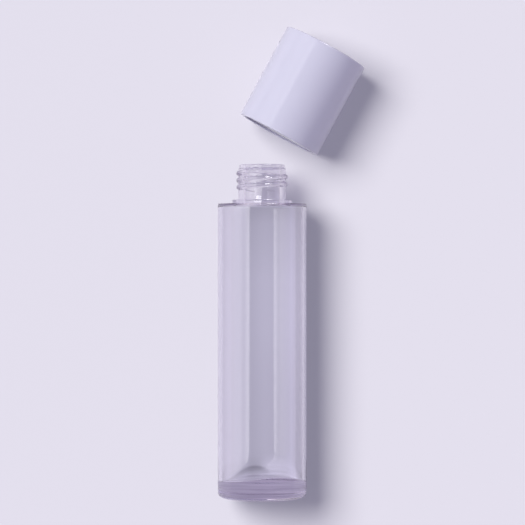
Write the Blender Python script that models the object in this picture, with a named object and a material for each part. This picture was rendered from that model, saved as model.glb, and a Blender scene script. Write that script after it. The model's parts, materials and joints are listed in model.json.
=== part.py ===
"""Cosmetic bottle of thick clear glass lying on its side, with its screw cap off and lying beside the mouth.

Metres, +Z up. The bottle's axis runs along +Y, base first, and both pieces rest on the plane z = 0.
"""

import math

import bmesh
import bpy
from mathutils import Vector

# Bottle body
BODY_RADIUS = 0.02025
BODY_HEIGHT = 0.1340
BODY_WALL = 0.0018
BASE_THICKNESS = 0.0074
HEEL_RADIUS = 0.0030
SHOULDER_THICKNESS = 0.0011
SHOULDER_EDGE_RADIUS = 0.0004
FLOOR_CORNER_RADIUS = 0.0010
FLOOR_DOME_HEIGHT = 0.0014
CEILING_CORNER_RADIUS = 0.0004
PUSH_UP_DEPTH = 0.0008
PUSH_UP_MIDWAY_SHARE = 0.75
BEARING_WIDTH = 0.0050

# Bottle neck, a 24 mm screw finish of the tall kind
NECK_RADIUS = 0.01085
NECK_HEIGHT = 0.0178
NECK_WALL = 0.0026
RING_PROJECTION = 0.0028
RING_HEIGHT = 0.0017
RING_EDGE = 0.0003
LIP_INSET = 0.00055
LIP_BAND = 0.0014
LIP_EDGE_RADIUS = 0.0004
BORE_MOUTH_RADIUS = 0.0012

# Screw thread, single start and right handed
THREAD_PITCH = 0.003175
THREAD_DEPTH = 0.00095
THREAD_HALF_WIDTH = 0.0011
THREAD_TOP_DROP = 0.0032
NECK_THREAD_TURNS = 2.5
CAP_THREAD_TURNS = 1.75
THREAD_FADE_TURNS = 0.12
THREAD_BURIED_SHARE = 0.25

# Cap shell
CAP_INSET = 0.00025
CAP_LENGTH = 0.0452
SHELL_WALL = 0.0017
SHELL_TOP_THICKNESS = 0.0022
SHELL_TOP_EDGE_RADIUS = 0.0006
SHELL_RIM_EDGE = 0.0003
SNAP_BEAD_HEIGHT = 0.00045
SNAP_BEAD_WIDTH = 0.0004

# Threaded insert inside the cap
INSERT_RECESS = 0.0010
INSERT_WALL = 0.0013
INSERT_TOP_THICKNESS = 0.0013
INSERT_EDGE = 0.0005
FLANGE_THICKNESS = 0.0014
LEAD_IN = 0.0004
LINER_THICKNESS = 0.0015
LINER_BEAD_HEIGHT = 0.0006
LINER_BEAD_WIDTH = 0.0006

# Drive keys on the insert, each held between a pair of ribs in the shell
KEY_COUNT = 6
KEY_THICKNESS = 0.0010
RIB_THICKNESS = 0.0010

# Clearances
SEAT_GAP = 0.0003
THREAD_CLEARANCE = 0.00035
CLOSED_GAP = 0.0006

# Where the cap lies, seen from above: its open end's centre past the mouth, and its turn to the right
CAP_ASIDE = 0.0076
CAP_AHEAD = 0.0136
CAP_TURN_DEGREES = 28.4

# Facets
TURN_SEGMENTS = 48
ARC_STEPS = 4
FLOOR_DOME_STEPS = 6
THREAD_SECTION_STEPS = 4
SMOOTH_ANGLE_DEGREES = 35

# Sizes that follow
BOTTLE_HEIGHT = BODY_HEIGHT + NECK_HEIGHT
CAVITY_RADIUS = BODY_RADIUS - BODY_WALL
BORE_RADIUS = NECK_RADIUS - NECK_WALL
THREAD_RADIUS = NECK_RADIUS + THREAD_DEPTH
RING_RADIUS = NECK_RADIUS + RING_PROJECTION
LIP_RADIUS = NECK_RADIUS - LIP_INSET
CAP_RADIUS = BODY_RADIUS - CAP_INSET
SHELL_BORE_RADIUS = CAP_RADIUS - SHELL_WALL
FLANGE_RADIUS = SHELL_BORE_RADIUS - SEAT_GAP
FLANGE_TOP = INSERT_RECESS + FLANGE_THICKNESS
INSERT_BORE_RADIUS = THREAD_RADIUS + THREAD_CLEARANCE
SLEEVE_RADIUS = INSERT_BORE_RADIUS + INSERT_WALL
LINER_RADIUS = INSERT_BORE_RADIUS - SEAT_GAP
LIP_IN_CAP = NECK_HEIGHT - CLOSED_GAP
LINER_SEAT = LIP_IN_CAP + LINER_THICKNESS + SEAT_GAP
INSERT_TOP = LINER_SEAT + INSERT_TOP_THICKNESS
RING_POCKET_RADIUS = RING_RADIUS + THREAD_CLEARANCE
RING_POCKET_TOP = RING_HEIGHT - CLOSED_GAP + THREAD_CLEARANCE
CAP_TURN = math.radians(CAP_TURN_DEGREES)


def clear_scene():
    """Remove every object, so that the model starts from nothing."""
    for thing in list(bpy.data.objects):
        bpy.data.objects.remove(thing, do_unlink=True)


def make_material(name, colour, roughness, transmission=0.0, ior=1.5):
    """Return a Principled material that is not metallic."""
    material = bpy.data.materials.new(name)
    material.use_nodes = True
    shader = material.node_tree.nodes["Principled BSDF"]
    shader.inputs["Base Color"].default_value = (*colour, 1.0)
    shader.inputs["Roughness"].default_value = roughness
    shader.inputs["Metallic"].default_value = 0.0
    shader.inputs["Transmission Weight"].default_value = transmission
    shader.inputs["IOR"].default_value = ior
    return material


def make_empty(name, location, turn=0.0):
    """Return an empty whose +Z lies level, turned to the right of +Y by the given angle."""
    empty = bpy.data.objects.new(name, None)
    empty.location = location
    empty.rotation_euler = (-math.pi / 2, 0.0, -turn)
    bpy.context.scene.collection.objects.link(empty)
    return empty


def make_object(name, mesh_data, parent, material=None):
    """Put a bmesh into a named, smooth shaded object under its parent."""
    bmesh.ops.recalc_face_normals(mesh_data, faces=mesh_data.faces)
    mesh = bpy.data.meshes.new(name)
    mesh_data.to_mesh(mesh)
    mesh_data.free()
    mesh.shade_smooth()
    mesh.set_sharp_from_angle(angle=math.radians(SMOOTH_ANGLE_DEGREES))
    if material:
        mesh.materials.append(material)
    thing = bpy.data.objects.new(name, mesh)
    thing.parent = parent
    bpy.context.scene.collection.objects.link(thing)
    return thing


def join_into(thing, tool):
    """Unite a hidden tool with an object."""
    tool.hide_render = True
    tool.display_type = "WIRE"
    boolean = thing.modifiers.new(tool.name, "BOOLEAN")
    boolean.operation = "UNION"
    boolean.solver = "EXACT"
    boolean.object = tool


def arc(centre_r, centre_z, radius, start_degrees, end_degrees, steps=ARC_STEPS):
    """Return points (r, z) along an arc, its ends included; 0 degrees points outwards and 90 upwards."""
    points = []
    for step in range(steps + 1):
        angle = math.radians(start_degrees + (end_degrees - start_degrees) * step / steps)
        points.append((centre_r + radius * math.cos(angle), centre_z + radius * math.sin(angle)))
    return points


def turned(outline):
    """Spin an outline of (r, z) points, whose two ends lie on the axis, into a closed bmesh."""
    mesh_data = bmesh.new()
    corners = [mesh_data.verts.new((r, 0.0, z)) for r, z in outline]
    edges = [mesh_data.edges.new(pair) for pair in zip(corners, corners[1:])]
    bmesh.ops.spin(
        mesh_data,
        geom=corners + edges,
        cent=(0.0, 0.0, 0.0),
        axis=(0.0, 0.0, 1.0),
        angle=2 * math.pi,
        steps=TURN_SEGMENTS,
        use_merge=True,
    )
    bmesh.ops.remove_doubles(mesh_data, verts=mesh_data.verts, dist=LIP_EDGE_RADIUS / TURN_SEGMENTS)
    return mesh_data


def helix_rib(wall_radius, side, wall, turns, start_turn, top_height):
    """Return a rounded rib along a right-handed helix, running down from its top end.

    side is 1 on the outside of a wall and -1 on its inside; the rib's back lies buried in that wall.
    """
    mesh_data = bmesh.new()
    buried = wall * THREAD_BURIED_SHARE
    steps = round(turns * TURN_SEGMENTS)
    sections = []
    for step in range(steps + 1):
        turned_by = step / TURN_SEGMENTS
        fade = min(turned_by / THREAD_FADE_TURNS, (steps / TURN_SEGMENTS - turned_by) / THREAD_FADE_TURNS, 1.0)
        crest = THREAD_DEPTH * fade - buried / 2 * (1 - fade)
        angle = 2 * math.pi * (start_turn - turned_by)
        height = top_height - THREAD_PITCH * turned_by
        section = []
        for part in range(THREAD_SECTION_STEPS + 1):
            around = math.pi * part / THREAD_SECTION_STEPS
            radius = wall_radius + side * (-buried + (crest + buried) * math.sin(around))
            z = height - THREAD_HALF_WIDTH * math.cos(around)
            section.append(mesh_data.verts.new((radius * math.cos(angle), radius * math.sin(angle), z)))
        sections.append(section)
    count = THREAD_SECTION_STEPS + 1
    for low, high in zip(sections, sections[1:]):
        for part in range(count):
            after = (part + 1) % count
            mesh_data.faces.new((low[part], low[after], high[after], high[part]))
    mesh_data.faces.new(sections[0])
    mesh_data.faces.new(reversed(sections[-1]))
    return mesh_data


def add_web(mesh_data, inner, outer, low, high, thickness, offset, angle):
    """Add one upright web, a box that stands across the radius at an angle, moved sideways by an offset."""
    along = Vector((math.cos(angle), math.sin(angle), 0.0))
    sideways = Vector((-math.sin(angle), math.cos(angle), 0.0))
    corners = []
    for z in (low, high):
        for radius, side in ((inner, -0.5), (outer, -0.5), (outer, 0.5), (inner, 0.5)):
            place = along * radius + sideways * (offset + side * thickness)
            corners.append(mesh_data.verts.new((place.x, place.y, z)))
    bottom = corners[:4]
    top = corners[4:]
    mesh_data.faces.new(reversed(bottom))
    mesh_data.faces.new(top)
    for index in range(4):
        after = (index + 1) % 4
        mesh_data.faces.new((bottom[index], bottom[after], top[after], top[index]))


def bottle_outline():
    """Return the bottle's section, from the middle of its base round the lip to the cavity's domed floor."""
    bearing_radius = BODY_RADIUS - HEEL_RADIUS - BEARING_WIDTH
    ring_top = BODY_HEIGHT + RING_HEIGHT
    ceiling = BODY_HEIGHT - SHOULDER_THICKNESS
    ceiling_corner = min(CEILING_CORNER_RADIUS, (CAVITY_RADIUS - BORE_RADIUS) / 2)
    mouth_corner = min(BORE_MOUTH_RADIUS, (CAVITY_RADIUS - BORE_RADIUS) / 4)
    floor_corner = min(FLOOR_CORNER_RADIUS, CAVITY_RADIUS / 2)
    outline = [
        (0, PUSH_UP_DEPTH),
        (bearing_radius / 2, PUSH_UP_DEPTH * PUSH_UP_MIDWAY_SHARE),
        (bearing_radius, 0),
    ]
    outline += arc(BODY_RADIUS - HEEL_RADIUS, HEEL_RADIUS, HEEL_RADIUS, -90, 0)
    outline += arc(BODY_RADIUS - SHOULDER_EDGE_RADIUS, BODY_HEIGHT - SHOULDER_EDGE_RADIUS,
                   SHOULDER_EDGE_RADIUS, 0, 90)
    outline += [
        (RING_RADIUS, BODY_HEIGHT),
        (RING_RADIUS, ring_top - RING_EDGE),
        (RING_RADIUS - RING_EDGE, ring_top),
        (NECK_RADIUS, ring_top),
        (NECK_RADIUS, BOTTLE_HEIGHT - LIP_BAND - LIP_INSET),
        (LIP_RADIUS, BOTTLE_HEIGHT - LIP_BAND),
    ]
    outline += arc(LIP_RADIUS - LIP_EDGE_RADIUS, BOTTLE_HEIGHT - LIP_EDGE_RADIUS, LIP_EDGE_RADIUS, 0, 90)
    outline += arc(BORE_RADIUS + LIP_EDGE_RADIUS, BOTTLE_HEIGHT - LIP_EDGE_RADIUS, LIP_EDGE_RADIUS, 90, 180)
    outline += arc(BORE_RADIUS + mouth_corner, ceiling + mouth_corner, mouth_corner, 180, 270)
    outline += arc(CAVITY_RADIUS - ceiling_corner, ceiling - ceiling_corner, ceiling_corner, 90, 0)
    outline += arc(CAVITY_RADIUS - floor_corner, BASE_THICKNESS + floor_corner, floor_corner, 0, -90)
    for step in range(1, FLOOR_DOME_STEPS + 1):
        share = 1 - step / FLOOR_DOME_STEPS
        rise = FLOOR_DOME_HEIGHT * (1 - share * share)
        outline.append(((CAVITY_RADIUS - floor_corner) * share, BASE_THICKNESS + rise))
    return outline


def shell_outline():
    """Return the cap shell's section, from the middle of its closed end down the outside and up the inside."""
    bead_radius = SHELL_BORE_RADIUS - SNAP_BEAD_HEIGHT
    bead_top = INSERT_RECESS - SEAT_GAP
    ceiling = CAP_LENGTH - SHELL_TOP_THICKNESS
    outline = [(0, CAP_LENGTH)]
    outline += arc(CAP_RADIUS - SHELL_TOP_EDGE_RADIUS, CAP_LENGTH - SHELL_TOP_EDGE_RADIUS,
                   SHELL_TOP_EDGE_RADIUS, 90, 0)
    outline += [
        (CAP_RADIUS, SHELL_RIM_EDGE),
        (CAP_RADIUS - SHELL_RIM_EDGE, 0),
        (bead_radius + SHELL_RIM_EDGE, 0),
        (bead_radius, bead_top - SNAP_BEAD_WIDTH),
        (SHELL_BORE_RADIUS, bead_top),
        (SHELL_BORE_RADIUS, ceiling),
        (0, ceiling),
    ]
    return outline


def insert_outline():
    """Return the insert's section, from the middle of its closed top down the outside and up the bore."""
    bead_top = LIP_IN_CAP - SEAT_GAP
    bead_radius = INSERT_BORE_RADIUS - LINER_BEAD_HEIGHT
    return [
        (0, INSERT_TOP),
        (SLEEVE_RADIUS - INSERT_EDGE, INSERT_TOP),
        (SLEEVE_RADIUS, INSERT_TOP - INSERT_EDGE),
        (SLEEVE_RADIUS, FLANGE_TOP),
        (FLANGE_RADIUS, FLANGE_TOP),
        (FLANGE_RADIUS, INSERT_RECESS),
        (RING_POCKET_RADIUS, INSERT_RECESS),
        (RING_POCKET_RADIUS, RING_POCKET_TOP),
        (INSERT_BORE_RADIUS + LEAD_IN, RING_POCKET_TOP),
        (INSERT_BORE_RADIUS, RING_POCKET_TOP + LEAD_IN),
        (INSERT_BORE_RADIUS, bead_top - 2 * LINER_BEAD_WIDTH),
        (bead_radius, bead_top - LINER_BEAD_WIDTH),
        (INSERT_BORE_RADIUS, bead_top),
        (INSERT_BORE_RADIUS, LINER_SEAT),
        (0, LINER_SEAT),
    ]


def liner_outline():
    """Return the section of the foam disc that lies against the insert's top."""
    low = LIP_IN_CAP
    high = LIP_IN_CAP + LINER_THICKNESS
    return [(0, high), (LINER_RADIUS, high), (LINER_RADIUS, low), (0, low)]


def build_bottle(parent):
    """Build the one-piece glass bottle with its screw thread."""
    glass = make_material("clear_glass", (0.90, 0.88, 0.96), 0.02, transmission=1.0, ior=1.5)
    bottle = make_object("bottle", turned(bottle_outline()), parent, glass)
    front = -0.25
    rib = helix_rib(NECK_RADIUS, 1, NECK_WALL, NECK_THREAD_TURNS, front, BOTTLE_HEIGHT - THREAD_TOP_DROP)
    join_into(bottle, make_object("neck_thread_tool", rib, parent))


def build_shell(parent):
    """Build the glossy outer shell with the ribs that grip the insert."""
    lavender = make_material("glossy_lavender", (0.68, 0.66, 0.84), 0.12)
    shell = make_object("cap_shell", turned(shell_outline()), parent, lavender)
    ribs = bmesh.new()
    offset = KEY_THICKNESS / 2 + SEAT_GAP + RIB_THICKNESS / 2
    for index in range(KEY_COUNT):
        for side in (-1, 1):
            add_web(ribs, SLEEVE_RADIUS + SEAT_GAP, SHELL_BORE_RADIUS + SHELL_WALL / 2,
                    FLANGE_TOP + SEAT_GAP, CAP_LENGTH - SHELL_TOP_THICKNESS / 2,
                    RIB_THICKNESS, side * offset, 2 * math.pi * index / KEY_COUNT)
    join_into(shell, make_object("shell_rib_tool", ribs, parent))


def build_insert(parent):
    """Build the threaded insert with its closing flange and drive keys."""
    natural = make_material("natural_plastic", (0.80, 0.79, 0.84), 0.45)
    insert = make_object("cap_insert", turned(insert_outline()), parent, natural)
    keys = bmesh.new()
    for index in range(KEY_COUNT):
        add_web(keys, SLEEVE_RADIUS - INSERT_WALL / 2, FLANGE_RADIUS,
                FLANGE_TOP - FLANGE_THICKNESS / 2, INSERT_TOP - INSERT_EDGE - SEAT_GAP,
                KEY_THICKNESS, 0, 2 * math.pi * index / KEY_COUNT)
    join_into(insert, make_object("insert_key_tool", keys, parent))
    top = LIP_IN_CAP - THREAD_TOP_DROP - THREAD_PITCH / 2
    rib = helix_rib(INSERT_BORE_RADIUS, -1, INSERT_WALL, CAP_THREAD_TURNS, 0, top)
    join_into(insert, make_object("insert_thread_tool", rib, parent))


def build_liner(parent):
    """Build the foam sealing disc."""
    foam = make_material("white_foam", (0.85, 0.85, 0.88), 0.8)
    make_object("cap_liner", turned(liner_outline()), parent, foam)


def main():
    """Place the bottle and the cap so that the origin is under the middle of the whole layout."""
    clear_scene()
    edge = SHELL_TOP_EDGE_RADIUS
    reach = CAP_LENGTH - edge
    half_width = CAP_RADIUS - edge
    far_right = CAP_ASIDE + reach * math.sin(CAP_TURN) + half_width * math.cos(CAP_TURN) + edge
    far_end = BOTTLE_HEIGHT + CAP_AHEAD + reach * math.cos(CAP_TURN) + half_width * math.sin(CAP_TURN) + edge
    base = Vector((-(far_right - BODY_RADIUS) / 2, -far_end / 2, 0.0))
    bottle_axis = make_empty("bottle_axis", base + Vector((0.0, 0.0, BODY_RADIUS)))
    cap_place = base + Vector((CAP_ASIDE, BOTTLE_HEIGHT + CAP_AHEAD, CAP_RADIUS))
    cap_axis = make_empty("cap_axis", cap_place, CAP_TURN)
    build_bottle(bottle_axis)
    build_shell(cap_axis)
    build_insert(cap_axis)
    build_liner(cap_axis)


main()
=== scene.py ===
"""Looks of the cosmetic bottle: fine round glass, a glossy lavender cap and a soft lilac studio."""

import json
import math

import bmesh
import bpy
from mathutils import Matrix, Vector


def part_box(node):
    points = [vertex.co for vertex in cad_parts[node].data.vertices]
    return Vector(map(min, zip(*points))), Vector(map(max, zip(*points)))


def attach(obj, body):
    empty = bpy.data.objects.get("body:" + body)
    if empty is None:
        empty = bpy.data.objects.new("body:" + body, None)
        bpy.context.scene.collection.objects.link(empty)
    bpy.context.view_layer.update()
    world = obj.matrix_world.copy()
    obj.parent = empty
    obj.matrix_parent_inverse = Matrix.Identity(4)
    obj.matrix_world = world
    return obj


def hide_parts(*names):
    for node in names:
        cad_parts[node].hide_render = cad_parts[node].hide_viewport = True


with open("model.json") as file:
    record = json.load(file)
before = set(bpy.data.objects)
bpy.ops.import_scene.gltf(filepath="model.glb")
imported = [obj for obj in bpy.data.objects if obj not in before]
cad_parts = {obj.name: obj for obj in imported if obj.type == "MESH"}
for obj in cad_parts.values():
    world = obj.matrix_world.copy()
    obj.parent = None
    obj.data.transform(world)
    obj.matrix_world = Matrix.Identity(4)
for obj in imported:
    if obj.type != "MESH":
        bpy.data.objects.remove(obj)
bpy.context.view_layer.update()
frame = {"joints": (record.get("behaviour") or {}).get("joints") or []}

# Bottle, as in the solids; every length is in metres
BODY_HEIGHT = 0.1340
BODY_WALL = 0.0018
BASE_THICKNESS = 0.0074
HEEL_RADIUS = 0.0030
SHOULDER_THICKNESS = 0.0011
SHOULDER_EDGE_RADIUS = 0.0004
CEILING_CORNER_RADIUS = 0.0004
PUSH_UP_DEPTH = 0.0008
BEARING_WIDTH = 0.0050
NECK_RADIUS = 0.01085
NECK_WALL = 0.0026
RING_PROJECTION = 0.0028
RING_HEIGHT = 0.0017
RING_EDGE = 0.0003
LIP_INSET = 0.00055
LIP_BAND = 0.0014
LIP_EDGE_RADIUS = 0.0004
BORE_MOUTH_RADIUS = 0.0012

# Screw thread, as in the solids; its start is in turns round the axis, from the right by the underside
THREAD_PITCH = 0.003175
THREAD_DEPTH = 0.00095
THREAD_HALF_WIDTH = 0.0011
THREAD_TOP_DROP = 0.0032
THREAD_FADE_TURNS = 0.12
NECK_THREAD_TURNS = 2.5
NECK_THREAD_START = 0.75
CAP_THREAD_TURNS = 1.75
CAP_THREAD_START = 0.0

# Cavity's floor, uneven as in thick glass: a low dome that leans, runs up the wall in one place and
# rounds into it in another; degrees run round the axis from the right, by the underside
FLOOR_CORNER_RADIUS = 0.0003
FLOOR_DOME_HEIGHT = 0.0006
LEAN_DEGREES = 270.0
LEAN_RISE = 0.0010
RUN_UP_DEGREES = 293.0
RUN_UP_SPREAD_DEGREES = 42.0
RUN_UP_RISE = 0.0022
FILLET_DEGREES = 90.0
FILLET_RADIUS = 0.0110
FILLET_FADE_POWER = 2
UNEVEN_HEIGHT = 0.0130

# Cap, as in the solids
CAP_LENGTH = 0.0452
SHELL_WALL = 0.0017
SHELL_TOP_THICKNESS = 0.0022
SHELL_TOP_EDGE_RADIUS = 0.0006
SHELL_RIM_EDGE = 0.0003
SNAP_BEAD_HEIGHT = 0.00045
SNAP_BEAD_WIDTH = 0.0004
INSERT_RECESS = 0.0010
INSERT_WALL = 0.0013
INSERT_TOP_THICKNESS = 0.0013
INSERT_EDGE = 0.0005
FLANGE_THICKNESS = 0.0014
LEAD_IN = 0.0004
LINER_THICKNESS = 0.0015
SEAT_GAP = 0.0003
THREAD_CLEARANCE = 0.00035
CLOSED_GAP = 0.0006

# Fineness of the meshes; points nearer to each other than CLOSE are one
ROUND_SEGMENTS = 192
ARC_STEPS = 8
THREAD_ROWS = 90
FLOOR_ROWS = 32
UNEVEN_ROWS = 52
SHELL_TOP_ROWS = 3
SHARP_DEGREES = 40
CLOSE = 1e-6

# Points that hold the shading of a long straight stretch: how far they are from its ends, and the share of
# the stretch that this has to stay under
HOLD = 0.0002
HOLD_SHARE = 0.25

# Turns a piece that is modelled upright to lie along +Y
LAID_DOWN = Matrix.Rotation(-math.pi / 2, 4, "X")

# Camera, straight above the bottle: height over its axis, width seen there, place past and along the axis,
# and width of the sensor in millimetres
CAMERA_HEIGHT = 1.2
VIEW_WIDTH = 0.2392
VIEW_PAST_AXIS = 0.000137
VIEW_ALONG = 0.0
SENSOR = 36.0

# Turns of a ray inside the thick glass before it is given up
GLASS_BOUNCES = 24

# Colours are linear, and at a level of 1 a colour shows as it is written
WHITE = (1.0, 1.0, 1.0)
BACKDROP = (0.776, 0.745, 0.855)

# Sky: its level as light, in gloss, and in glass from the horizon up to the height where it stays the same
SKY_TINT = (0.86, 0.85, 1.15)
SKY_LEVEL = 0.13
SKY_IN_GLOSS = 0.30
HORIZON_IN_GLASS = 0.70
ZENITH_IN_GLASS = 0.45
ZENITH_ABOVE = 0.75

# Broad lamps over the pieces: x and y of their direction for each metre up, spread in degrees, level, tint
OBJECT_KEY = ((-0.88, 0.475), 33.0, 0.69, (0.975, 1.02, 0.93))
OBJECT_TOP = ((0.0, 0.0), 60.0, 0.38, (0.99, 0.96, 1.09))

# Floor: it lies in its own colour where it is lit, and part of that is its own glow
FLOOR_REACH = 2.5
SHADE_TINT = (0.96, 0.95, 1.12)
FLOOR_GLOW_SHARE = 0.30
FLOOR_ALBEDO_SHARE = 0.20
FLOOR_LAMP_PLACE = (-0.915, 0.556, 1.7)
FLOOR_LAMP_RADIUS = 0.56
FLOOR_LAMP_GAIN = 1.028

# Floor as the glass shows it: part of it, less behind the neck, is light of its own without the shadow
SEEN_THROUGH_TINT = (0.96, 0.95, 1.06)
SEEN_THROUGH_BODY_SHARE = 0.63
SEEN_THROUGH_NECK_SHARE = 0.15
SEEN_THROUGH_FADE = 0.006

# Painted pool of light that the glass would gather under it, more on its right: levels by place across from
# the axis
PAINTED_GATHERED_LIGHT = ((-0.0085, 0.92), (-0.0052, 0.80), (0.0010, 0.90), (0.0040, 0.89), (0.0080, 0.91),
            (0.0105, 0.98), (0.0130, 1.10), (0.0150, 1.19), (0.0170, 1.10), (0.0190, 0.84))

# Shares that painted shade at shoulder and base takes from it, and painted light adds: along the bottle,
# and of that across
SHOULDER_SHADE = ((-0.103, 0.0), (-0.098, 0.11), (-0.060, 0.08), (-0.030, 0.0), (-0.008, 0.0),
                  (0.018, 0.16), (0.0258, 0.34), (0.0266, 0.05))
SHOULDER_SHADE_ACROSS = ((-0.0085, 0.15), (-0.0060, 1.0))
BASE_SHADE = ((-0.1030, 0.0), (-0.0994, 0.0), (-0.0980, 0.15), (-0.0968, 0.40), (-0.0959, 0.50),
              (-0.0950, 0.60), (-0.0938, 0.12), (-0.0890, 0.03), (-0.0850, 0.0))
BASE_SHADE_ACROSS = ((-0.0165, 0.0), (-0.0135, 0.5), (-0.0100, 0.8), (-0.0050, 1.0), (-0.0010, 0.95),
                     (0.0018, 0.45), (0.0040, 0.0))
BASE_LIGHT = ((-0.1005, 0.0), (-0.0989, 0.50), (-0.0980, 0.22), (-0.0971, 0.30), (-0.0961, 0.42),
              (-0.0952, 0.30), (-0.0943, 0.38), (-0.0934, 0.34), (-0.0905, 0.10), (-0.0880, 0.0))
BASE_LIGHT_ACROSS = ((-0.0030, 0.0), (-0.0005, 0.45), (0.0035, 0.9), (0.0060, 1.0), (0.0090, 0.9),
                     (0.0125, 0.5), (0.0165, 0.6), (0.0185, 0.0))

# Arches that the base's painted shade and painted light follow: place of the top across, and how strongly
# they bend
SHADE_ARCH = (-0.0030, 55.0)
LIGHT_ARCH = (0.0055, 25.0)

# Side panel, a curved screen round the bottle's axis. A band has its turn past the panel's upper edge and
# its radiance; a column has its place along the bottle, the upper edge's angle from straight up, and the
# share of the radiance that it gives. Turns are in degrees, and the first column slants away downwards
PANEL_DISTANCE = 1.0
PANEL_BANDS = ((0.0, 2.5), (4.5, 2.5), (8.0, 2.0), (12.0, 1.3), (17.0, 1.0), (22.5, 1.35),
               (29.0, 1.15), (38.0, 0.87), (46.0, 0.6), (55.7, 0.35))
PANEL_COLUMNS = ((-0.158, 34.3, 1.0), (0.14, 33.0, 1.0), (0.26, 26.6, 0.6), (0.62, 16.7, 0.6),
                 (1.4, 10.0, 0.6))
PANEL_LOW_SLANT = 0.018
HORIZON_DEGREES = 90.0
PANEL_GLOW = (1.0, 0.99, 1.02)

# Neck's panel overhead: place along the bottle, angle from straight up at which it ends, and radiance
NECK_PANEL = ((0.0478, 30.0, 11.0), (0.0545, 30.0, 11.0), (0.0549, 40.0, 3.2), (0.12, 40.0, 4.2))
NECK_PANEL_START = 3.0

# Panel beyond the mouth: its low and high x, its low and high y, and its radiance
BACK_PANEL_ACROSS = (0.2, 1.0)
BACK_PANEL_ALONG = (0.5, 2.2)
BACK_PANEL_RADIANCE = 16.0

# Refractive index of glass and glossy plastic
REFRACTION = 1.5

# Glass: tints where the body turns away, in the neck and in the base's streaks, and absorption in its depth
TURNED_AWAY_TINT = (0.81, 0.79, 0.83)
NECK_TINT = (0.945, 0.935, 0.955)
STREAK_TINT = (0.66, 0.64, 0.69)
ABSORPTION_COLOUR = (0.90, 0.867, 0.915)
ABSORPTION_DENSITY = 66.0

# Light that the glass lets straight through: bounced light, and the lamp's through body and neck, where it
# grows from the shoulder towards the lip and is less where the neck turns away
BOUNCED_LIGHT_PASSED = (0.97, 0.97, 0.97)
BODY_LIGHT_PASSED = (0.25, 0.24, 0.26)
NECK_LOW_LIGHT_PASSED = (0.36, 0.35, 0.39)
NECK_HIGH_LIGHT_PASSED = (0.96, 0.95, 0.97)
NECK_EDGE_LIGHT_PASSED = (0.34, 0.33, 0.36)
NECK_SHADE_HEIGHT = 0.0178

# Noise: features in a metre, detail and stretch; and the depth of the relief that it makes
GLASS_WAVES = (60.0, 1.0, (1.0, 0.15, 1.0))
GLASS_WAVE_DEPTH = 0.00004
STREAKS = (650.0, 2.0, (0.05, 1.0, 0.05))
STREAK_RANGE = (-2.0, 3.0)
STREAK_FADE_WIDTH = 0.016
CAP_CLOUDS = (45.0, 3.0)
CAP_WAVES = (350.0, 1.0)
CAP_WAVE_DEPTH = 0.000004
MOULDING_CLOUDS = (120.0, 3.0)
MOULDING_GRAIN = (2500.0, 2.0)
MOULDING_GRAIN_DEPTH = 0.00002
FOAM_CELLS = 2200.0
FOAM_CELL_DEPTH = 0.00008

# Colours and roughness of the cap's pieces, from low to high
CAP_COLOURS = ((0.625, 0.598, 0.742), (0.645, 0.617, 0.762))
CAP_ROUGHNESS = (0.06, 0.10)
MOULDING_COLOURS = ((0.78, 0.77, 0.82), (0.82, 0.81, 0.86))
MOULDING_ROUGHNESS = (0.38, 0.50)
FOAM_COLOURS = ((0.80, 0.80, 0.83), (0.88, 0.88, 0.91))
FOAM_ROUGHNESS = 0.85


def outlined(points):
    """Drop points of an outline that repeat the one before."""
    kept = [points[0]]
    for point in points[1:]:
        if math.dist(point, kept[-1]) > CLOSE:
            kept.append(point)
    return kept


def held(outline):
    """Add a point close to each end of every long straight stretch, so that its shading stays straight."""
    points = [outline[0]]
    for start, end in zip(outline, outline[1:]):
        share = HOLD / math.dist(start, end)
        if share < HOLD_SHARE:
            for along in (share, 1 - share):
                points.append(tuple(a + (b - a) * along for a, b in zip(start, end)))
        points.append(end)
    return points


def arc(centre_r, centre_z, radius, start_degrees, end_degrees):
    """Return points (r, z) along an arc; 0 degrees points outwards and 90 upwards."""
    points = []
    for step in range(ARC_STEPS + 1):
        angle = math.radians(start_degrees + (end_degrees - start_degrees) * step / ARC_STEPS)
        points.append((centre_r + radius * math.cos(angle), centre_z + radius * math.sin(angle)))
    return points


def line(start, end, steps):
    """Return evenly spaced points from start to end."""
    return [
        (start[0] + (end[0] - start[0]) * step / steps, start[1] + (end[1] - start[1]) * step / steps)
        for step in range(steps + 1)
    ]


def new_object(name, mesh_data):
    """Return an object of the scene made from mesh data, which is freed."""
    mesh = bpy.data.meshes.new(name)
    mesh_data.to_mesh(mesh)
    mesh_data.free()
    thing = bpy.data.objects.new(name, mesh)
    bpy.context.scene.collection.objects.link(thing)
    return thing


def turned(name, outline, shape=None):
    """Return an object made by turning an outline of (r, z) points whose two ends lie on the axis.

    shape, if given, moves each point: it takes r, z and the angle, and returns r and z.
    """
    outline = held(outlined(outline))
    mesh_data = bmesh.new()
    rings = []
    for r, z in outline:
        if r < CLOSE:
            height = shape(r, z, 0.0)[1] if shape else z
            rings.append([mesh_data.verts.new((0.0, 0.0, height))])
            continue
        ring = []
        for segment in range(ROUND_SEGMENTS):
            angle = 2 * math.pi * segment / ROUND_SEGMENTS
            radius, height = shape(r, z, angle) if shape else (r, z)
            ring.append(mesh_data.verts.new((radius * math.cos(angle), radius * math.sin(angle), height)))
        rings.append(ring)
    for low, high in zip(rings, rings[1:]):
        for segment in range(ROUND_SEGMENTS):
            after = (segment + 1) % ROUND_SEGMENTS
            if len(low) == 1:
                mesh_data.faces.new((low[0], high[after], high[segment]))
            elif len(high) == 1:
                mesh_data.faces.new((low[segment], low[after], high[0]))
            else:
                mesh_data.faces.new((low[segment], low[after], high[after], high[segment]))
    bmesh.ops.recalc_face_normals(mesh_data, faces=mesh_data.faces)
    thing = new_object(name, mesh_data)
    thing.data.shade_smooth()
    thing.data.set_sharp_from_angle(angle=math.radians(SHARP_DEGREES))
    return thing


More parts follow.
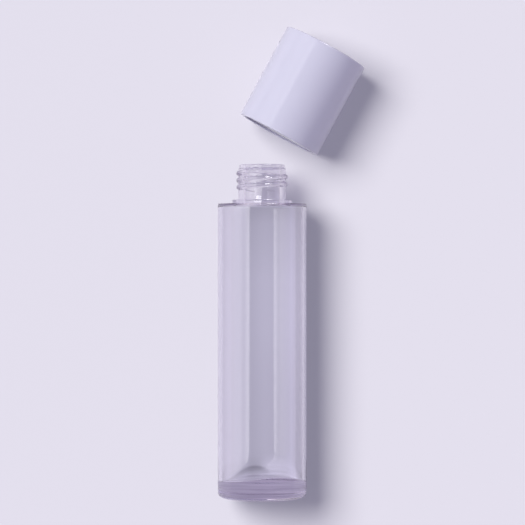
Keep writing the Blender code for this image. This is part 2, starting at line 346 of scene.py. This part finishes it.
def thread_rise(height, angle, top_height, turns, start_turn):
    """Return from 0 to 1 how far a right-handed thread stands out at a height and angle."""
    rise = 0.0
    first = (start_turn - angle / (2 * math.pi)) % 1.0
    for whole in range(int(turns) + 2):
        turned_by = first + whole
        if turned_by > turns:
            continue
        fade = min(turned_by / THREAD_FADE_TURNS, (turns - turned_by) / THREAD_FADE_TURNS, 1.0)
        away = abs(height - (top_height - THREAD_PITCH * turned_by)) / THREAD_HALF_WIDTH
        if away < 1.0:
            rise = max(rise, fade * math.sqrt(1.0 - away * away))
    return rise


def bottle_outline(radius, height):
    """Return the bottle's section from the middle of its base round the lip to the cavity's floor."""
    cavity = radius - BODY_WALL
    bore = NECK_RADIUS - NECK_WALL
    ring = NECK_RADIUS + RING_PROJECTION
    ring_top = BODY_HEIGHT + RING_HEIGHT
    lip = NECK_RADIUS - LIP_INSET
    ceiling = BODY_HEIGHT - SHOULDER_THICKNESS
    bearing = radius - HEEL_RADIUS - BEARING_WIDTH
    rim = cavity - FLOOR_CORNER_RADIUS
    corner_top = BASE_THICKNESS + FLOOR_CORNER_RADIUS
    outline = []
    for step in range(ARC_STEPS):
        share = step / ARC_STEPS
        outline.append((bearing * share, PUSH_UP_DEPTH * (1 - share * share)))
    outline.append((bearing, 0.0))
    outline += arc(radius - HEEL_RADIUS, HEEL_RADIUS, HEEL_RADIUS, -90, 0)
    outline += arc(radius - SHOULDER_EDGE_RADIUS, BODY_HEIGHT - SHOULDER_EDGE_RADIUS,
                   SHOULDER_EDGE_RADIUS, 0, 90)
    outline.append((ring, BODY_HEIGHT))
    outline += arc(ring - RING_EDGE, ring_top - RING_EDGE, RING_EDGE, 0, 90)
    outline += line((NECK_RADIUS, ring_top), (NECK_RADIUS, height - LIP_BAND - LIP_INSET), THREAD_ROWS)
    outline.append((lip, height - LIP_BAND))
    outline += arc(lip - LIP_EDGE_RADIUS, height - LIP_EDGE_RADIUS, LIP_EDGE_RADIUS, 0, 90)
    outline += arc(bore + LIP_EDGE_RADIUS, height - LIP_EDGE_RADIUS, LIP_EDGE_RADIUS, 90, 180)
    outline += arc(bore + BORE_MOUTH_RADIUS, ceiling + BORE_MOUTH_RADIUS, BORE_MOUTH_RADIUS, 180, 270)
    outline += arc(cavity - CEILING_CORNER_RADIUS, ceiling - CEILING_CORNER_RADIUS,
                   CEILING_CORNER_RADIUS, 90, 0)
    outline += line((cavity, BASE_THICKNESS + UNEVEN_HEIGHT), (cavity, corner_top), UNEVEN_ROWS)
    outline += arc(rim, corner_top, FLOOR_CORNER_RADIUS, 0, -90)
    for step in range(1, FLOOR_ROWS + 1):
        share = 1 - step / FLOOR_ROWS
        outline.append((rim * share, BASE_THICKNESS + FLOOR_DOME_HEIGHT * (1 - share * share)))
    return outline


def uneven(r, z, angle, cavity):
    """Return where uneven glass puts a point of the cavity's floor or of the wall just above it."""
    above = z - BASE_THICKNESS
    out = r / cavity
    off = (math.degrees(angle) - RUN_UP_DEGREES) / RUN_UP_SPREAD_DEGREES
    lift = LEAN_RISE * math.cos(angle - math.radians(LEAN_DEGREES)) * out
    lift += RUN_UP_RISE * math.exp(-off * off) * out * out
    beside = max(0.0, math.cos(angle - math.radians(FILLET_DEGREES))) ** FILLET_FADE_POWER
    if r <= cavity - FLOOR_CORNER_RADIUS:
        r *= 1 - beside * FILLET_RADIUS / cavity
    elif above < FILLET_RADIUS:
        inward = FILLET_RADIUS - math.sqrt(FILLET_RADIUS ** 2 - (FILLET_RADIUS - above) ** 2)
        r -= beside * inward
    return r, z + lift * (1 - above / UNEVEN_HEIGHT)


def make_bottle(place, radius, height):
    """Build the fine glass bottle, whose thread is raised out of the neck and whose floor is uneven."""
    top = height - THREAD_TOP_DROP
    cavity = radius - BODY_WALL

    def shape(r, z, angle):
        if abs(r - NECK_RADIUS) < CLOSE and z > BODY_HEIGHT + RING_HEIGHT:
            return r + THREAD_DEPTH * thread_rise(z, angle, top, NECK_THREAD_TURNS, NECK_THREAD_START), z
        if r < cavity + CLOSE and -CLOSE < z - BASE_THICKNESS < UNEVEN_HEIGHT - CLOSE:
            return uneven(r, z, angle, cavity)
        return r, z

    bottle = turned("bottle_glass", bottle_outline(radius, height), shape)
    bottle.data.transform(place)
    return bottle


def shell_outline(radius):
    """Return the cap shell's section, from the middle of its closed end round its rim to the inside."""
    bore = radius - SHELL_WALL
    bead = bore - SNAP_BEAD_HEIGHT
    bead_top = INSERT_RECESS - SEAT_GAP
    ceiling = CAP_LENGTH - SHELL_TOP_THICKNESS
    outline = line((0.0, CAP_LENGTH), (radius - SHELL_TOP_EDGE_RADIUS, CAP_LENGTH), SHELL_TOP_ROWS)
    outline += arc(radius - SHELL_TOP_EDGE_RADIUS, CAP_LENGTH - SHELL_TOP_EDGE_RADIUS,
                   SHELL_TOP_EDGE_RADIUS, 90, 0)
    outline += arc(radius - SHELL_RIM_EDGE, SHELL_RIM_EDGE, SHELL_RIM_EDGE, 0, -90)
    outline += [
        (bead + SHELL_RIM_EDGE, 0.0),
        (bead, bead_top - SNAP_BEAD_WIDTH),
        (bore, bead_top),
        (bore, ceiling),
        (0.0, ceiling),
    ]
    return outline


def insert_outline(radius, bore, lip_in_cap):
    """Return the insert's section, from the middle of its closed top down the outside and up the bore."""
    sleeve = bore + INSERT_WALL
    flange = radius - SHELL_WALL - SEAT_GAP
    flange_top = INSERT_RECESS + FLANGE_THICKNESS
    pocket = NECK_RADIUS + RING_PROJECTION + THREAD_CLEARANCE
    pocket_top = RING_HEIGHT - CLOSED_GAP + THREAD_CLEARANCE
    seat = lip_in_cap + LINER_THICKNESS + SEAT_GAP
    top = seat + INSERT_TOP_THICKNESS
    outline = [
        (0.0, top),
        (sleeve - INSERT_EDGE, top),
        (sleeve, top - INSERT_EDGE),
        (sleeve, flange_top),
        (flange, flange_top),
        (flange, INSERT_RECESS),
        (pocket, INSERT_RECESS),
        (pocket, pocket_top),
        (bore + LEAD_IN, pocket_top),
    ]
    outline += line((bore, pocket_top + LEAD_IN), (bore, seat), THREAD_ROWS)
    outline.append((0.0, seat))
    return outline


def make_cap(place, radius, bottle_height):
    """Build the cap's shell, insert and liner."""
    bore = NECK_RADIUS + THREAD_DEPTH + THREAD_CLEARANCE
    lip_in_cap = bottle_height - BODY_HEIGHT - CLOSED_GAP
    thread_top = lip_in_cap - THREAD_TOP_DROP - THREAD_PITCH / 2

    def shape(r, z, angle):
        if abs(r - bore) < CLOSE:
            r -= THREAD_DEPTH * thread_rise(z, angle, thread_top, CAP_THREAD_TURNS, CAP_THREAD_START)
        return r, z

    shell = turned("cap_shell_gloss", shell_outline(radius))
    insert = turned("cap_insert_moulding", insert_outline(radius, bore, lip_in_cap), shape)
    liner_radius = bore - SEAT_GAP
    liner = turned("cap_liner_foam", [
        (0.0, lip_in_cap + LINER_THICKNESS),
        (liner_radius, lip_in_cap + LINER_THICKNESS),
        (liner_radius, lip_in_cap),
        (0.0, lip_in_cap),
    ])
    for piece in (shell, insert, liner):
        piece.data.transform(place)
    return shell, insert, liner


def feed(tree, node, inputs):
    """Give a node's inputs, by name or number, a constant or another node's output each."""
    for name, value in inputs.items():
        if isinstance(value, bpy.types.NodeSocket):
            tree.links.new(value, node.inputs[name])
        else:
            node.inputs[name].default_value = value


def add(tree, kind, inputs=None, **settings):
    """Add a shader node with its inputs and settings."""
    node = tree.nodes.new("ShaderNode" + kind)
    for name, value in settings.items():
        setattr(node, name, value)
    feed(tree, node, inputs or {})
    return node


def calculated(tree, operation, *values):
    """Return what a Math node makes of numbers and other nodes' outputs."""
    return add(tree, "Math", dict(enumerate(values)), operation=operation).outputs[0]


def mapped(tree, value, start=0.0, end=1.0, low=0.0, high=1.0):
    """Return what runs from low to high while a value runs from start to end."""
    return add(tree, "MapRange", {
        "Value": value,
        "From Min": start,
        "From Max": end,
        "To Min": low,
        "To Max": high,
    }).outputs[0]


def blended(tree, share, low, high, blend_type="MIX"):
    """Return a colour between two others, each written out or another node's output."""
    # A Mix node's inputs 6 and 7 are its two colours, and its output 2 is their mix
    ends = [(*end, 1.0) if isinstance(end, tuple) else end for end in (low, high)]
    mix = add(tree, "Mix", {0: share, 6: ends[0], 7: ends[1]}, data_type="RGBA", blend_type=blend_type)
    return mix.outputs[2]


def mixed(tree, share, first, second):
    """Return a shader that is the second by a share, and otherwise the first."""
    return add(tree, "MixShader", {0: share, 1: first, 2: second}).outputs[0]


def noise(tree, scale, detail, stretch=(1.0, 1.0, 1.0)):
    """Return the factor of a noise in the object's own space, with features 1 / scale metres wide."""
    place = add(tree, "TexCoord").outputs["Object"]
    squeezed = add(tree, "Mapping", {"Vector": place, "Scale": stretch}).outputs[0]
    return add(tree, "TexNoise", {"Vector": squeezed, "Scale": scale, "Detail": detail}).outputs[0]


def relief(tree, height, depth):
    """Return a normal with a fine relief."""
    return add(tree, "Bump", {"Height": height, "Distance": depth}).outputs[0]


def new_material(name):
    """Return a node material with its tree and Principled shader."""
    material = bpy.data.materials.new(name)
    material.use_nodes = True
    return material, material.node_tree, material.node_tree.nodes["Principled BSDF"]


def emptied(block):
    """Return the node tree of a material or a world, without the nodes that it starts with."""
    block.use_nodes = True
    block.node_tree.nodes.clear()
    return block.node_tree


def glass_colour(tree, facing, across, along, left_x, floor_y, shoulder_y):
    """Return the glass's colour, darker where the body turns away, with streaks in the base."""
    in_base = calculated(tree, "LESS_THAN", along, floor_y)
    in_body = calculated(tree, "LESS_THAN", along, shoulder_y - SHOULDER_THICKNESS / 2)
    in_neck = calculated(tree, "GREATER_THAN", along, shoulder_y)
    away = blended(tree, calculated(tree, "MULTIPLY", facing, in_body), WHITE, TURNED_AWAY_TINT)
    fade = mapped(tree, across, left_x, left_x + STREAK_FADE_WIDTH)
    streaks = mapped(tree, noise(tree, *STREAKS), low=STREAK_RANGE[0], high=STREAK_RANGE[1])
    share = calculated(tree, "MULTIPLY", calculated(tree, "MULTIPLY", in_base, fade), streaks)
    body = blended(tree, 1.0, away, blended(tree, share, WHITE, STREAK_TINT), "MULTIPLY")
    return blended(tree, in_neck, body, NECK_TINT, "MULTIPLY")


def light_passed(tree, facing, along, shoulder_y, bounced):
    """Return the colour of the light that goes straight through the glass, bounced or from the lamp."""
    in_neck = calculated(tree, "GREATER_THAN", along, shoulder_y)
    height = mapped(tree, along, shoulder_y, shoulder_y + NECK_SHADE_HEIGHT)
    middle = blended(tree, height, NECK_LOW_LIGHT_PASSED, NECK_HIGH_LIGHT_PASSED)
    neck = blended(tree, facing, middle, NECK_EDGE_LIGHT_PASSED)
    lamp = blended(tree, in_neck, BODY_LIGHT_PASSED, neck)
    return blended(tree, bounced, lamp, BOUNCED_LIGHT_PASSED)


def glass_material(left_x, floor_y, shoulder_y):
    """Clear lilac glass, whose shadow is dark below the body and lighter below the neck."""
    material, tree, shader = new_material("clear_glass")
    place = add(tree, "TexCoord").outputs["Object"]
    axes = add(tree, "SeparateXYZ", {0: place}).outputs
    path = add(tree, "LightPath").outputs
    facing = add(tree, "LayerWeight").outputs["Facing"]
    feed(tree, shader, {
        "Base Color": glass_colour(tree, facing, axes["X"], axes["Y"], left_x, floor_y, shoulder_y),
        "Roughness": 0.0,
        "IOR": REFRACTION,
        "Transmission Weight": 1.0,
        "Normal": relief(tree, noise(tree, *GLASS_WAVES), GLASS_WAVE_DEPTH),
    })
    passed = light_passed(tree, facing, axes["Y"], shoulder_y, path["Is Diffuse Ray"])
    clear = add(tree, "BsdfTransparent", {"Color": passed})
    straight = calculated(tree, "MAXIMUM", path["Is Shadow Ray"], path["Is Diffuse Ray"])
    depth = add(tree, "VolumeAbsorption", {
        "Color": (*ABSORPTION_COLOUR, 1.0),
        "Density": ABSORPTION_DENSITY,
    })
    feed(tree, tree.nodes["Material Output"], {
        "Surface": mixed(tree, straight, shader.outputs[0], clear.outputs[0]),
        "Volume": depth.outputs[0],
    })
    return material


def lavender_material():
    """Glossy moulded plastic whose gloss and colour vary a little."""
    material, tree, shader = new_material("glossy_lavender")
    clouds = noise(tree, *CAP_CLOUDS)
    feed(tree, shader, {
        "Base Color": blended(tree, clouds, *CAP_COLOURS),
        "Roughness": mapped(tree, clouds, low=CAP_ROUGHNESS[0], high=CAP_ROUGHNESS[1]),
        "IOR": REFRACTION,
        "Normal": relief(tree, noise(tree, *CAP_WAVES), CAP_WAVE_DEPTH),
    })
    return material


def moulding_material():
    """Satin natural plastic with a fine moulded grain."""
    material, tree, shader = new_material("natural_plastic")
    clouds = noise(tree, *MOULDING_CLOUDS)
    feed(tree, shader, {
        "Base Color": blended(tree, clouds, *MOULDING_COLOURS),
        "Roughness": mapped(tree, clouds, low=MOULDING_ROUGHNESS[0], high=MOULDING_ROUGHNESS[1]),
        "Normal": relief(tree, noise(tree, *MOULDING_GRAIN), MOULDING_GRAIN_DEPTH),
    })
    return material


def foam_material():
    """Matt foam of fine closed cells."""
    material, tree, shader = new_material("white_foam")
    place = add(tree, "TexCoord").outputs["Object"]
    cells = add(tree, "TexVoronoi", {"Vector": place, "Scale": FOAM_CELLS}).outputs["Distance"]
    feed(tree, shader, {
        "Base Color": blended(tree, cells, *FOAM_COLOURS),
        "Roughness": FOAM_ROUGHNESS,
        "Normal": relief(tree, cells, FOAM_CELL_DEPTH),
    })
    return material


def tinted(colour, tint):
    """Return a colour times a tint."""
    return [part * of_tint for part, of_tint in zip(colour, tint)]


def floor_key_level():
    """Return the key that the floor needs to reach its colour, as its albedo is only a share of that."""
    return (1.0 - FLOOR_GLOW_SHARE) / FLOOR_ALBEDO_SHARE - SKY_LEVEL


def lit_floor(tree, position):
    """Return the floor's own shader, evened out where its lamp lights it at a slant, with a little glow."""
    shade = tinted(BACKDROP, SHADE_TINT)
    albedo = [(colour - FLOOR_GLOW_SHARE * shaded) / (floor_key_level() + SKY_LEVEL * tint)
              for colour, shaded, tint in zip(BACKDROP, shade, SKY_TINT)]
    slant = add(tree, "VectorMath", {0: position, 1: FLOOR_LAMP_PLACE}, operation="DISTANCE")
    evened = calculated(tree, "DIVIDE", slant.outputs["Value"], FLOOR_LAMP_PLACE[2])
    colour = add(tree, "VectorMath", {0: albedo, "Scale": evened}, operation="SCALE")
    diffuse = add(tree, "BsdfDiffuse", {"Color": colour.outputs["Vector"]})
    glow = add(tree, "Emission", {"Color": (*shade, 1.0), "Strength": FLOOR_GLOW_SHARE})
    return add(tree, "AddShader", {0: diffuse.outputs[0], 1: glow.outputs[0]}).outputs[0]


def graded(tree, place, origin, stops):
    """Return a value that follows stops of (place, value), read along one coordinate from an origin."""
    first, last = stops[0][0], stops[-1][0]
    ramp = add(tree, "ValToRGB", {0: mapped(tree, place, origin + first, origin + last)})
    elements = ramp.color_ramp.elements
    for number, (where, value) in enumerate(stops):
        position = (where - first) / (last - first)
        element = elements[number] if number < 2 else elements.new(position)
        element.position = position
        element.color = (value, value, value, 1.0)
    return ramp.outputs["Color"]


def arched(tree, across, along, axis_x, arch):
    """Return the place along the bottle, read along an arch."""
    top, bend = arch
    off = calculated(tree, "SUBTRACT", across, axis_x + top)
    return calculated(tree, "MULTIPLY_ADD", calculated(tree, "POWER", off, 2.0), bend, along)


def changed(tree, value, operation, share, of_share):
    """Return a value with a share of it added or taken away, of which only another share counts."""
    part = calculated(tree, "MULTIPLY", share, of_share)
    return calculated(tree, "MULTIPLY", value, calculated(tree, operation, 1.0, part))


def light_under_glass(tree, across, along, axis_x):
    """Return the floor's painted level by place, as the glass shows it: gathered light, less painted shade,
    plus the base's painted light.
    """
    level = graded(tree, across, axis_x, PAINTED_GATHERED_LIGHT)
    level = changed(tree, level, "SUBTRACT", graded(tree, along, 0.0, SHOULDER_SHADE),
                    graded(tree, across, axis_x, SHOULDER_SHADE_ACROSS))
    for operation, arch, stops, stops_across in (
        ("SUBTRACT", SHADE_ARCH, BASE_SHADE, BASE_SHADE_ACROSS),
        ("ADD", LIGHT_ARCH, BASE_LIGHT, BASE_LIGHT_ACROSS),
    ):
        bent = arched(tree, across, along, axis_x, arch)
        level = changed(tree, level, operation, graded(tree, bent, 0.0, stops),
                        graded(tree, across, axis_x, stops_across))
    return level


def floor_material(axis_x, shoulder_y):
    """Pale floor, of which the glass shows its own level instead of part of its shadow."""
    material = bpy.data.materials.new("floor")
    tree = emptied(material)
    position = add(tree, "NewGeometry").outputs["Position"]
    axes = add(tree, "SeparateXYZ", {0: position}).outputs
    path = add(tree, "LightPath").outputs
    # The glass shows the floor with a painted glow: light gathered under it, shade of shoulder and base,
    # light of the base
    through = add(tree, "Emission", {
        "Color": (*tinted(BACKDROP, SEEN_THROUGH_TINT), 1.0),
        "Strength": light_under_glass(tree, axes["X"], axes["Y"], axis_x),
    })
    share = mapped(tree, axes["Y"], shoulder_y, shoulder_y + SEEN_THROUGH_FADE,
                   SEEN_THROUGH_BODY_SHARE, SEEN_THROUGH_NECK_SHARE)
    seen = calculated(tree, "MULTIPLY", path["Is Transmission Ray"], share)
    look = mixed(tree, seen, lit_floor(tree, position), through.outputs[0])
    add(tree, "OutputMaterial", {"Surface": look})
    return material


def make_floor(axis_x, shoulder_y):
    """Lay the floor."""
    mesh_data = bmesh.new()
    bmesh.ops.create_grid(mesh_data, x_segments=1, y_segments=1, size=FLOOR_REACH)
    floor = new_object("floor", mesh_data)
    floor.data.materials.append(floor_material(axis_x, shoulder_y))
    return floor


def make_world():
    """An even soft sky, which glass shows brighter near the horizon and the camera sees as the backdrop."""
    world = bpy.data.worlds.new("studio")
    bpy.context.scene.world = world
    tree = emptied(world)
    path = add(tree, "LightPath").outputs
    place = add(tree, "TexCoord").outputs["Generated"]
    height = add(tree, "SeparateXYZ", {0: place}).outputs["Z"]
    in_gloss = mapped(tree, path["Is Glossy Ray"], low=SKY_LEVEL, high=SKY_IN_GLOSS)
    in_glass = mapped(tree, height, end=ZENITH_ABOVE, low=HORIZON_IN_GLASS, high=ZENITH_IN_GLASS)
    level = add(tree, "Mix", {"Factor": path["Is Transmission Ray"], "A": in_gloss, "B": in_glass})
    sky = add(tree, "Background", {"Color": (*SKY_TINT, 1.0), "Strength": level.outputs[0]})
    backdrop = add(tree, "Background", {"Color": (*BACKDROP, 1.0)})
    look = mixed(tree, path["Is Camera Ray"], sky.outputs[0], backdrop.outputs[0])
    add(tree, "OutputWorld", {"Surface": look})


def hang_lamp(lamp, receivers):
    """Hang a lamp that lights only some objects, and that gloss and glass don't show."""
    key = bpy.data.objects.new(lamp.name, lamp)
    key.visible_glossy = False
    key.visible_transmission = False
    bpy.context.scene.collection.objects.link(key)
    lit = bpy.data.collections.new(lamp.name)
    for receiver in receivers:
        lit.objects.link(receiver)
    key.light_linking.receiver_collection = lit
    return key


def make_floor_lamp(floor):
    """Hang the round lamp that casts the shadows, and that loses no strength on its way."""
    lamp = bpy.data.lights.new("floor_key", "POINT")
    # A point lamp spreads its power over a full sphere, and a floor shows 1 / pi of what reaches it
    full_sphere = 4 * math.pi
    lamp.energy = FLOOR_LAMP_GAIN * floor_key_level() * math.pi * full_sphere
    lamp.shadow_soft_size = FLOOR_LAMP_RADIUS
    lamp.use_nodes = True
    tree = lamp.node_tree
    steady = add(tree, "LightFalloff", {"Strength": 1.0})
    feed(tree, tree.nodes["Emission"], {"Strength": steady.outputs["Constant"]})
    hang_lamp(lamp, [floor]).location = FLOOR_LAMP_PLACE


def make_sun(name, receivers, slope, spread_degrees, level, tint):
    """Hang a broad sun-like lamp for some objects."""
    lamp = bpy.data.lights.new(name, "SUN")
    lamp.energy = level * math.pi
    lamp.color = tint
    lamp.angle = math.radians(spread_degrees)
    toward = Vector((*slope, 1.0)).normalized()
    hang_lamp(lamp, receivers).rotation_euler = toward.to_track_quat("Z", "Y").to_euler()


def glow_material(name):
    """Light of the strength that a sheet's points hold."""
    material = bpy.data.materials.new(name)
    tree = emptied(material)
    strength = add(tree, "Attribute", attribute_name="glow").outputs["Fac"]
    glow = add(tree, "Emission", {"Color": (*PANEL_GLOW, 1.0), "Strength": strength})
    add(tree, "OutputMaterial", {"Surface": glow.outputs[0]})
    return material


def glowing(name, columns):
    """Stage a sheet that only gloss and glass show, from columns of places with a radiance each."""
    mesh_data = bmesh.new()
    layer = mesh_data.verts.layers.float.new("glow")
    grid = []
    for column in columns:
        made = []
        for place, radiance in column:
            vert = mesh_data.verts.new(place)
            vert[layer] = radiance
            made.append(vert)
        grid.append(made)
    for left, right in zip(grid, grid[1:]):
        for row in range(len(left) - 1):
            mesh_data.faces.new((left[row], left[row + 1], right[row + 1], right[row]))
    sheet = new_object(name, mesh_data)
    sheet.data.materials.append(glow_material(name))
    for setting in ("visible_camera", "visible_diffuse", "visible_shadow", "visible_volume_scatter"):
        setattr(sheet, setting, False)
    return sheet


def on_screen(axis_x, axis_z, degrees, y):
    """Return a place on the round screen, turned from straight above the axis towards the left."""
    angle = math.radians(degrees)
    return (axis_x - PANEL_DISTANCE * math.sin(angle), y, axis_z + PANEL_DISTANCE * math.cos(angle))


def make_side_panel(axis_x, axis_z):
    """Hang the large panel on the left, from near overhead down to the horizon."""
    last = PANEL_BANDS[-1][0]
    columns = []
    for y, edge, strength in PANEL_COLUMNS:
        column = []
        for turn, radiance in PANEL_BANDS:
            share = turn / last
            low = PANEL_LOW_SLANT * math.sqrt(share) if y < 0 else 0.0
            place = on_screen(axis_x, axis_z, edge + (HORIZON_DEGREES - edge) * share, y - low)
            column.append((place, strength * radiance))
        columns.append(column)
    glowing("side_panel", columns)


def make_neck_panel(axis_x, axis_z):
    """Hang the narrow panel overhead that only the neck mirrors."""
    columns = [[(on_screen(axis_x, axis_z, turn, y), radiance) for turn in (NECK_PANEL_START, end)]
               for y, end, radiance in NECK_PANEL]
    glowing("neck_panel", columns).visible_transmission = False


def make_back_panel():
    """Hang the small bright panel beyond the mouth, which lights the crests of the thread."""
    columns = [[((x, y, PANEL_DISTANCE), BACK_PANEL_RADIANCE) for y in BACK_PANEL_ALONG]
               for x in BACK_PANEL_ACROSS]
    glowing("back_panel", columns).visible_transmission = False


def make_camera(axis_x, axis_z):
    """Look straight down, as the photograph does."""
    data = bpy.data.cameras.new("camera")
    data.sensor_width = SENSOR
    data.lens = SENSOR * CAMERA_HEIGHT / VIEW_WIDTH
    camera = bpy.data.objects.new("camera", data)
    camera.location = (axis_x + VIEW_PAST_AXIS, VIEW_ALONG, axis_z + CAMERA_HEIGHT)
    bpy.context.scene.collection.objects.link(camera)
    bpy.context.scene.camera = camera


def dress_bottle():
    """Put the fine bottle in the solid's place."""
    low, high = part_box("bottle")
    radius = (high.x - low.x) / 2
    place = Matrix.Translation(((low.x + high.x) / 2, low.y, low.z + radius)) @ LAID_DOWN
    glass = make_bottle(place, radius, high.y - low.y)
    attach(glass, "bottle")
    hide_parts("bottle")
    glass.data.materials.append(glass_material(low.x, low.y + BASE_THICKNESS, low.y + BODY_HEIGHT))
    return glass


def dress_cap(bottle_height):
    """Put the fine pieces of the cap in the places of its solids, along the axis that it turns on."""
    turn = next(joint for joint in frame["joints"] if joint["name"] == "cap_turn")
    axis = Vector(turn["axis"])
    bearing = math.atan2(axis.x, axis.y)
    low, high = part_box("cap_shell")
    place = Matrix.Translation(turn["pos_m"]) @ Matrix.Rotation(-bearing, 4, "Z") @ LAID_DOWN
    shell, insert, liner = make_cap(place, (high.z - low.z) / 2, bottle_height)
    for piece, body, node, slot in (
        (shell, "cap", "cap_shell", "glossy_lavender"),
        (insert, "cap", "cap_insert", "natural_plastic"),
        (liner, "liner", "cap_liner", "white_foam"),
    ):
        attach(piece, body)
        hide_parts(node)
    shell.data.materials.append(lavender_material())
    insert.data.materials.append(moulding_material())
    liner.data.materials.append(foam_material())
    return [shell, insert, liner]


def main():
    """Dress the bottle and the cap, then light and frame them."""
    low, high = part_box("bottle")
    axis_x = (low.x + high.x) / 2
    axis_z = low.z + (high.x - low.x) / 2
    pieces = [dress_bottle(), *dress_cap(high.y - low.y)]
    make_world()
    make_floor_lamp(make_floor(axis_x, low.y + BODY_HEIGHT))
    make_sun("object_key", pieces, *OBJECT_KEY)
    make_sun("object_top", pieces, *OBJECT_TOP)
    make_side_panel(axis_x, axis_z)
    make_neck_panel(axis_x, axis_z)
    make_back_panel()
    make_camera(axis_x, axis_z)
    scene = bpy.context.scene
    scene.view_settings.view_transform = "Standard"
    for kind in ("max", "glossy", "transmission", "transparent_max"):
        setattr(scene.cycles, kind + "_bounces", GLASS_BOUNCES)


main()
bpy.context.view_layer.update()
